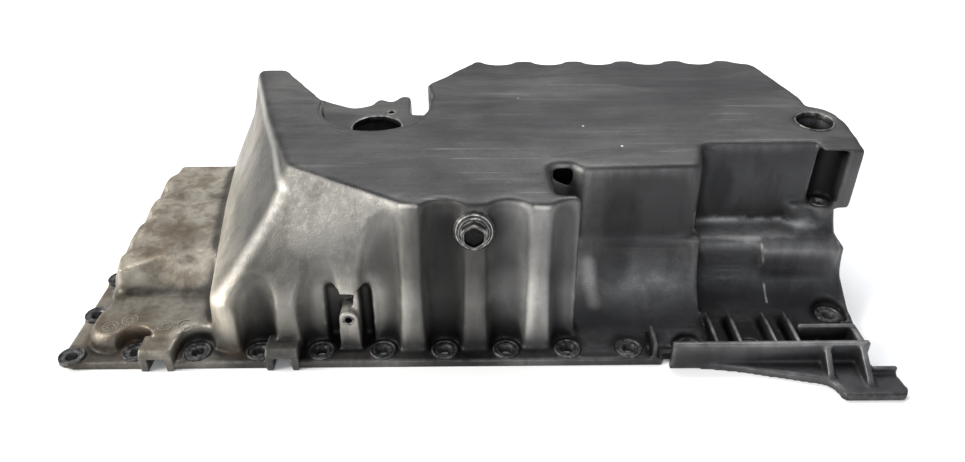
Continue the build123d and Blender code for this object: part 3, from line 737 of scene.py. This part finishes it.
def floor_tone(g, at, x, patch, brush):
    """Tone of the flat areas: brushed, smudged, darker past the middle and finely scratched."""
    smudge = g.noise(g.stretch(at, (7.0, 22.0, 7.0)), 1.0, 4.0, 0.6, 0.6)
    tone = g.ramp(brush, [(0.25, (0.026, 0.026, 0.028)), (0.5, (0.042, 0.042, 0.043)),
                          (0.75, (0.066, 0.065, 0.064))])
    tone = g.mix(g.step(smudge, 0.42, 0.64, 0.0, 0.7), tone, (0.085, 0.084, 0.081))
    tone = g.mix(g.step(patch, 0.42, 0.62, 0.0, 0.45), tone, (0.026, 0.026, 0.028))
    tone = g.tint(g.step(x, -0.11, 0.0, 0.75, 0.0), tone, (1.6, 1.58, 1.54))
    past_middle = g.math("MULTIPLY", g.step(x, -0.03, 0.0), g.step(x, 0.03, 0.07, 0.45, 0.0))
    tone = g.tint(past_middle, tone, (0.45, 0.45, 0.46))
    scratch = g.noise(g.stretch(at, (9.0, 330.0, 9.0), (0.0, 0.0, 0.12)), 1.0, 3.0, 0.55, 0.35)
    scuffed = g.math("MULTIPLY", g.step(scratch, 0.60, 0.68, 0.0, 0.5), g.step(smudge, 0.42, 0.58))
    return g.mix(scuffed, tone, SCRATCH_METAL)


def stained(g, colour, at, mottle):
    """Oil varnish and rust-brown runs at the left end."""
    for place, reach, amount in STAINS:
        ragged = g.math("MULTIPLY", g.math("SUBTRACT", mottle, 0.5), reach * 2.2 * MM)
        blot = g.math("ADD", g.distance(at, place), ragged)
        colour = g.mix(g.step(blot, 0.1 * reach * MM, 1.1 * reach * MM, amount, 0.0), colour, RUST_BROWN)
    return colour


def edge_wear_highlights_and_knocks(g, colour, at, edge, fine):
    """Thin broken wear on all edges, partly a painted edge highlight, the painted highlight lines, and pale
    knocks on floor and flange.
    """
    # Pale wear broken along convex edges, partly a painted edge highlight.
    worn = g.math("MULTIPLY", g.step(edge, 0.60, 0.82), g.step(g.noise(at, 90.0, 4.0, 0.65), 0.40, 0.62))
    colour = g.mix(g.math("MULTIPLY", worn, 0.22), colour, g.mix(0.5, colour, EDGE_METAL))
    # Painted highlights along edges, from the pale lines.
    edge_highlight = g.most(g.near_line(at, *line) for line in PALE_LINES)
    colour = g.mix(g.math("MULTIPLY", edge_highlight, g.step(fine, 0.3, 0.6, 0.75, 1.0)), colour, PALE_METAL)
    for place, reach in KNOCKS:
        near = g.distance(at, place)
        colour = g.mix(g.step(near, 0.5 * reach * MM, reach * MM, 0.85, 0.0), colour, KNOCK_METAL)
    return colour


def cast_metal():
    """As-cast aluminium: grain, brush marks on the floor, painted shade in recesses, pale edge wear with
    painted edge highlights.
    """
    g = Shader("cast_aluminium")
    at = g.object_coords()
    x, y, z = g.axis(at, 0), g.axis(at, 1), g.axis(at, 2)
    edge = g.attribute("marks", 0)
    opening = g.attribute("marks", 1)
    crown = g.attribute("marks", 2)
    mottle = g.noise(at, 38.0, 5.0, 0.6)
    patch = g.noise(at, 9.0, 3.0, 0.5)
    fine = g.noise(at, 210.0, 4.0, 0.62)
    brush = g.noise(g.stretch(at, (5.0, 95.0, 5.0)), 1.0, 6.0, 0.7, 0.25)
    shake = g.vector("SUBTRACT", g.grey(mottle), (0.5, 0.5, 0.5))
    frayed = g.vector("ADD", at, g.vector("SCALE", shake, scale=0.016))
    # Dark patches of painted shadow, partly soot, and pale patches of painted sheen, partly clean metal, both
    # by place.
    soot_and_shadow = g.most(g.in_patch(frayed, *area) for area in DARK_PATCHES)
    clean_and_sheen = g.most(g.in_patch(frayed, *area) for area in PALE_PATCHES)
    outside_pale_patches = g.math("SUBTRACT", 1.0, clean_and_sheen)
    flat = flat_areas(g, at, y, z)
    colour = metal_tone_light_and_shade(g, x, z, patch, mottle)
    colour = crests_and_hollows(g, colour, at, x, crown, mottle, clean_and_sheen, outside_pale_patches)
    colour = runs_and_blotches(g, colour, at, x)
    colour = g.mix(flat, colour, floor_tone(g, at, x, patch, brush))
    colour = g.tint(g.step(mottle, 0.35, 0.7, 0.0, 0.40), colour, (0.60, 0.59, 0.57))
    colour = g.tint(g.step(fine, 0.48, 0.72, 0.0, 0.32), colour, (1.5, 1.48, 1.42))
    colour = stained(g, colour, at, mottle)
    # Painted shadow, partly soot, over the dark patches.
    colour = g.mix(g.math("MULTIPLY", soot_and_shadow, g.step(mottle, 0.2, 0.7, 1.0, 0.75)), colour, SOOT_AND_SHADOW)
    # Painted shade in recesses: darker where less of the space over the surface is open, outside the pale
    # patches.
    shade = g.math("MULTIPLY", g.step(opening, 0.26, 0.74, 0.95, 0.0), g.step(mottle, 0.2, 0.6, 0.85, 1.0))
    colour = g.mix(g.math("MULTIPLY", shade, outside_pale_patches), colour, RECESS_SHADE)
    colour = edge_wear_highlights_and_knocks(g, colour, at, edge, fine)
    cast_rough = g.grey(g.step(fine, 0.3, 0.7, 0.42, 0.56))
    brushed_rough = g.grey(g.step(brush, 0.3, 0.7, 0.36, 0.52))
    grain = g.bump(g.noise(at, 760.0, 3.0, 0.65), 0.00030, 0.55)
    strokes = g.bump(g.math("MULTIPLY", brush, flat), 0.0006, 0.5, grain)
    waves = g.bump(g.noise(at, 95.0, 4.0, 0.55), 0.0010, 0.14, strokes)
    g.principled(colour, g.mix(flat, cast_rough, brushed_rough), 0.72, waves)
    return g.material


# The turned radius in millimetres at which the tone ramps end
BAND_SPAN = 24.0


def turned_metal(name, base, dark, roughness, pitch=0.55, metallic=0.85, bands=None):
    """Machined metal with fine turning rings and dirt in its pits, and a tone factor for each radius, which
    the band tables use for painted shade in bores and painted highlights on rims.
    """
    g = Shader(name)
    at = g.object_coords()
    r = g.attribute_value("turn")
    ring = g.math("SINE", g.math("MULTIPLY", r, 2 * math.pi / pitch))
    dirt = g.noise(at, 240.0, 4.0, 0.6)
    colour = g.mix(g.step(dirt, 0.38, 0.66), base, dark)
    colour = g.tint(g.step(ring, -0.2, 1.0, 0.0, 0.30), colour, (1.6, 1.58, 1.52))
    # Tone factor by radius: painted shade in bores and hollows, painted highlights on rims.
    if bands:
        stops = [(radius / BAND_SPAN, (factor, factor, factor)) for radius, factor in bands]
        colour = g.mix(1.0, colour, g.ramp(g.math("DIVIDE", r, BAND_SPAN), stops), "MULTIPLY")
    low = g.bump(ring, 0.00006, 0.5)
    pits = g.bump(g.noise(at, 900.0, 3.0, 0.6), 0.0002, 0.35, low)
    g.principled(colour, g.grey(g.step(dirt, 0.3, 0.7, roughness, roughness + 0.18)), metallic, pits)
    return g.material


# Rings at the bolts, the port, the dowel bore, the screw holes and the drain: profiles of radius and height
BOLT_RING = [(4.5, -7.6), (4.5, -1.5), (4.95, -1.05), (5.9, -1.0), (6.1, -0.82), (6.55, -0.80), (6.75, -1.0),
             (8.0, -1.0), (8.2, -0.9), (8.35, -0.25), (8.6, 0.0), (9.15, 0.02), (9.6, -0.2), (9.85, -0.7),
             (10.0, -2.0)]
PORT_RIM = [(20.2, -4.6), (20.2, -0.5), (20.6, -0.05), (21.1, 0.12), (21.9, 0.12), (22.5, -0.5)]
PORT_SCREW_RIM = [(2.6, -6.0), (2.6, -0.3), (2.95, 0.1), (4.3, 0.18), (4.7, -0.05), (4.9, -0.6)]
POST_RIM = [(2.5, -9.0), (2.5, -0.3), (2.9, 0.12), (4.3, 0.12), (4.8, -0.1), (5.0, -0.7)]
DOWEL_RIM = [(14.0, -5.0), (14.0, -0.5), (14.5, -0.05), (15.2, 0.02), (15.6, -0.5)]
SLOT_RIM = [(4.2, -6.0), (4.2, -0.4), (4.7, 0.05), (6.6, 0.1), (6.9, -0.05), (7.2, -0.6)]
# Tone factors by radius for the rims: the dark bands in the screw, post, dowel and port bores are painted
# shade, and the factor over 1 on the port's rim is a painted highlight.
LIP_BANDS = [(0.0, 0.15), (2.62, 0.15), (2.9, 1.0), (13.9, 1.0), (14.0, 0.15), (14.1, 0.15), (14.45, 1.0),
             (20.0, 1.0), (20.15, 0.12), (20.25, 0.12), (20.55, 1.2), (22.5, 1.0)]
DRAIN_RIM = [(7.2, -0.4), (7.2, 0.0), (12.0, 0.0), (12.1, 0.2), (12.15, 1.3), (12.3, 1.6), (12.6, 1.66),
             (12.85, 1.5), (13.1, 1.0), (13.7, 0.4), (14.4, -0.2), (14.8, -2.2)]
# Tone factors by radius for the drain seat: dark bands inside and outside the rim are painted shade, and the
# bright rim is machined metal with a painted highlight.
DRAIN_BANDS = [(0.0, 0.2), (12.05, 0.2), (12.2, 2.0), (12.8, 1.8), (13.15, 0.3), (14.8, 0.3)]


def make_rings():
    seats = Turnery()
    for x, y in BOLTS:
        limit = END_BOSS_R if x == LEFT_BOLT_X else FULL_BOSS_R
        seats.lathe(BOLT_RING, (x, y, BOSS_TOP), shape=lambda r, a: min(r, limit))
    dull = turned_metal("spot_faced_alloy", (0.10, 0.10, 0.10), (0.022, 0.022, 0.023), 0.46)
    seats.finish("bolt_seats", dull, "pan_casting", 55.0)
    rims = Turnery()
    rims.lathe(PORT_RIM, PORT, segments=96)
    rims.lathe(PORT_SCREW_RIM, PORT_SCREW, segments=32)
    rims.lathe(POST_RIM, POST_HOLE, FORWARD, 32)
    rims.lathe(DOWEL_RIM, DOWEL_BORE, FLOOR_UP, 64)
    rims.lathe(SLOT_RIM, SLOT_SCREW, segments=40)
    bright = turned_metal("machined_alloy", (0.22, 0.217, 0.21), (0.05, 0.05, 0.05), 0.36, bands=LIP_BANDS)
    rims.finish("machined_rims", bright, "pan_casting", 50.0)
    drain = Turnery()
    drain.lathe(DRAIN_RIM, DRAIN, DRAIN_UP, 72)
    pale = turned_metal("seat_alloy", (0.26, 0.257, 0.25), (0.10, 0.10, 0.10), 0.34, bands=DRAIN_BANDS)
    drain.finish("drain_seat", pale, "pan_casting", 50.0)


# Date dials, in millimetres: outer ring, hub, and ticks as radius and half-width
DIAL_RING = [(5.3, -0.4), (5.35, 0.22), (5.6, 0.3), (5.85, 0.22), (5.9, -0.4)]
DIAL_HUB = [(2.3, -0.4), (2.35, 0.16), (2.55, 0.24), (2.75, 0.16), (2.8, -0.4)]
DIAL_TICK = [(3.5, -0.22), (4.9, -0.22), (4.9, 0.22), (3.5, 0.22)]
TICKS = 12
TICK_TURN = 8


def make_dials(tree):
    """Plain date dials cast into the lower terrace: rings, a hub and short ticks."""
    dials = Turnery()
    for x, y in DIALS:
        hit = tree.ray_cast(Vector((x, y, 60.0)) * MM, Vector((0, 0, -1)), 0.1)
        z = hit[0].z / MM
        up = hit[1]
        dials.lathe(DIAL_RING, (x, y, z), up, 40)
        dials.lathe(DIAL_HUB, (x, y, z), up, 28)
        for k in range(TICKS):
            a = math.radians(360 / TICKS * k + TICK_TURN)
            c, n = math.cos(a), math.sin(a)
            corners = [(x + r * c - w * n, y + r * n + w * c, z + h)
                       for h in (-0.4, 0.2) for r, w in DIAL_TICK]
            dials.block(corners)
    dials.finish("date_dials", cast_alike("cast_relief"), "pan_casting")


def cast_alike(name):
    """Small cast relief: the left end's metal, worn pale in patches."""
    g = Shader(name)
    at = g.object_coords()
    worn = g.noise(at, 150.0, 4.0, 0.6)
    colour = g.ramp(worn, [(0.3, (0.13, 0.115, 0.09)), (0.6, (0.27, 0.255, 0.22)),
                           (0.8, (0.40, 0.385, 0.35))])
    grain = g.bump(g.noise(at, 800.0, 3.0, 0.6), 0.0002, 0.5)
    g.principled(colour, g.grey(g.step(worn, 0.3, 0.7, 0.62, 0.48)), 0.5, grain)
    return g.material


# Drain plug and washer, turned round the drain's axis: profiles of radius and height over the seat
PLUG_SEGMENTS = 72
SIDE = (1, 0, 0)
PLUG_FLANGE = [(7.0, -14.5), (7.0, 1.5), (10.7, 1.5), (11.05, 1.75), (11.2, 2.2), (11.2, 3.2), (10.9, 3.7),
               (10.4, 3.9), (8.0, 4.0)]
PLUG_HEAD = [(9.9, 3.9), (9.9, 10.2), (9.35, 10.85), (8.75, 11.3), (8.3, 11.4)]
PLUG_HOLLOW = [(8.05, 11.38), (7.1, 11.3), (6.75, 10.9), (6.55, 9.6), (6.4, 7.4), (5.2, 6.9), (1.2, 6.9)]
# Tone factors by radius for the plug: the dark hollow and the dark sides of the head are painted shade, and
# the bright edge of the head and the flange's rim are painted highlights.
PLUG_BANDS = [(0.0, 0.06), (6.6, 0.06), (7.0, 0.9), (8.2, 1.1), (8.7, 1.9), (9.4, 1.6), (9.7, 0.18),
              (10.3, 0.18), (10.6, 1.6), (11.2, 1.4)]
WASHER = [(7.3, 0.15), (7.3, 1.35), (7.45, 1.5), (11.75, 1.5), (11.95, 1.3), (11.95, 0.2), (11.75, 0.02),
          (7.45, 0.02), (7.3, 0.15)]
THREAD_TURNS = 9
THREAD_PITCH = 1.35
THREAD_TOP = -2.0
THREAD_TURN = [(7.0, -0.5), (7.32, -0.1), (7.32, 0.1), (7.0, 0.5)]


def hexagon(r, a):
    """Radius cut to a hexagon's side, so that smaller radii chamfer its corners."""
    sixth = math.pi / 3
    side = PLUG_HALF_ACROSS / math.cos((a + sixth / 2) % sixth - sixth / 2)
    return min(side, r)


def six_lobes(r, a):
    """Radius of the head's hollow, slightly six-lobed."""
    return r * (1.0 - 0.035 * math.cos(6 * a))


def make_plug():
    plug = Turnery()
    plug.lathe(PLUG_FLANGE, DRAIN, DRAIN_UP, PLUG_SEGMENTS, SIDE)
    plug.lathe(PLUG_HEAD, DRAIN, DRAIN_UP, PLUG_SEGMENTS, SIDE, hexagon)
    plug.lathe(PLUG_HOLLOW, DRAIN, DRAIN_UP, PLUG_SEGMENTS, SIDE, six_lobes)
    plug.cap(PLUG_SEGMENTS)
    for k in range(THREAD_TURNS):
        height = THREAD_TOP - THREAD_PITCH * k
        turn = [(r, height + h) for r, h in THREAD_TURN]
        plug.lathe(turn, DRAIN, DRAIN_UP, PLUG_SEGMENTS, SIDE)
    steel = turned_metal("worn_steel", (0.17, 0.165, 0.16), (0.06, 0.058, 0.058), 0.34, 0.8, bands=PLUG_BANDS)
    plug.finish("plug_steel_body", steel, "drain_plug", 32.0)
    ring = Turnery()
    ring.lathe(WASHER, DRAIN, DRAIN_UP, PLUG_SEGMENTS, SIDE)
    soft = turned_metal("soft_alloy", (0.13, 0.128, 0.122), (0.05, 0.049, 0.047), 0.42)
    ring.finish("seal_ring", soft, "drain_plug_washer", 40.0)


make_camera()
make_studio()
SCENE.view_settings.view_transform = "Standard"
metal = cast_metal()
for piece in casting_skin():
    piece.data.materials.clear()
    piece.data.materials.append(metal)
    dress(piece, "pan_casting")
skin = bpy.data.objects["pan_outside"].data
make_dials(BVHTree.FromPolygons([v.co.copy() for v in skin.vertices],
                                [tuple(f.vertices) for f in skin.polygons]))
make_rings()
make_plug()
